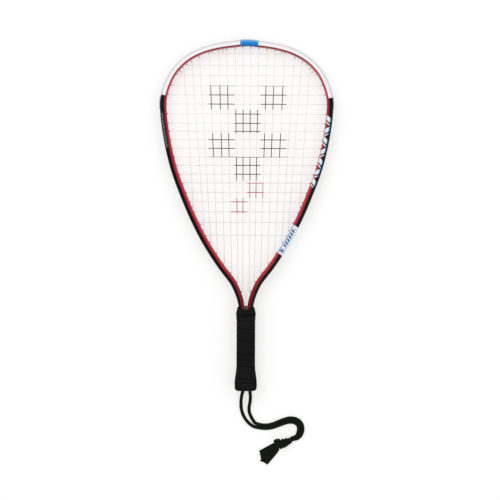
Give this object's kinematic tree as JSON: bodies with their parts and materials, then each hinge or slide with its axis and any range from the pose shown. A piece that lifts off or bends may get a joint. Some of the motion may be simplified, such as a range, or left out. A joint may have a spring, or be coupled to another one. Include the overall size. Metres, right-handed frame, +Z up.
{
  "type": "racquetball racket",
  "caption": "Teardrop-head racquetball racket with a woven string bed, crown bumper guard, wound grip and a knotted wrist lanyard hinged in the butt.",
  "frame": {"origin": "on the table, under the middle of the racket's box without its lanyard", "axes": "+Y from the butt to the head along the racket, +X to the right as seen from above with the head away, +Z up; the racket lies flat on its butt flare and its head tip, so its own middle plane drops 0.46 degrees towards the head"},
  "size_m": [0.2774, 0.6765, 0.0308],
  "materials": {
    "frame_composite": "gloss paint in black, red and white over a fibre composite tube",
    "guard_plastic": "translucent satin plastic",
    "grommet_plastic": "pale satin moulded plastic",
    "string_nylon": "smooth clear-white nylon string",
    "collar_rubber": "matte moulded rubber",
    "tape_vinyl": "satin vinyl tape",
    "grip_leather": "matte tacky synthetic leather with a fine grain",
    "shell_plastic": "moulded foam plastic",
    "spacer_foam": "dense foam rubber",
    "butt_rubber": "matte moulded rubber",
    "steel_wire": "drawn steel wire",
    "lanyard_cord": "soft braided cord"
  },
  "bodies": {
    "racket": {"frame_tube": "frame_composite", "bumper_guard": "guard_plastic", "grommet_strip_left": "grommet_plastic", "grommet_strip_right": "grommet_plastic", "main_string": "string_nylon", "cross_string": "string_nylon", "main_string_knot_left": "string_nylon", "main_string_knot_right": "string_nylon", "cross_string_knot_crown": "string_nylon", "cross_string_knot_throat": "string_nylon", "throat_plug": "collar_rubber", "grip_collar": "collar_rubber", "finishing_tape": "tape_vinyl", "grip_wrap": "grip_leather", "handle_shell_front": "shell_plastic", "handle_shell_back": "shell_plastic", "leg_spacer": "spacer_foam", "butt_cap": "butt_rubber", "butt_staple_front": "steel_wire", "butt_staple_back": "steel_wire", "lanyard_pin": "steel_wire"},
    "lanyard": {"lanyard_bight": "lanyard_cord", "lanyard_strand_left": "lanyard_cord", "lanyard_strand_right": "lanyard_cord", "lanyard_knot": "lanyard_cord", "lanyard_tail_upper": "lanyard_cord", "lanyard_tail_lower": "lanyard_cord"}
  },
  "joints": [
    {"name": "lanyard_swing", "type": "hinge", "parent": "racket", "child": "lanyard", "pos_m": [0.0017, -0.27437, 0.0154], "axis": [0, 0, 1], "range_deg": [-15, 15]}
  ]
}
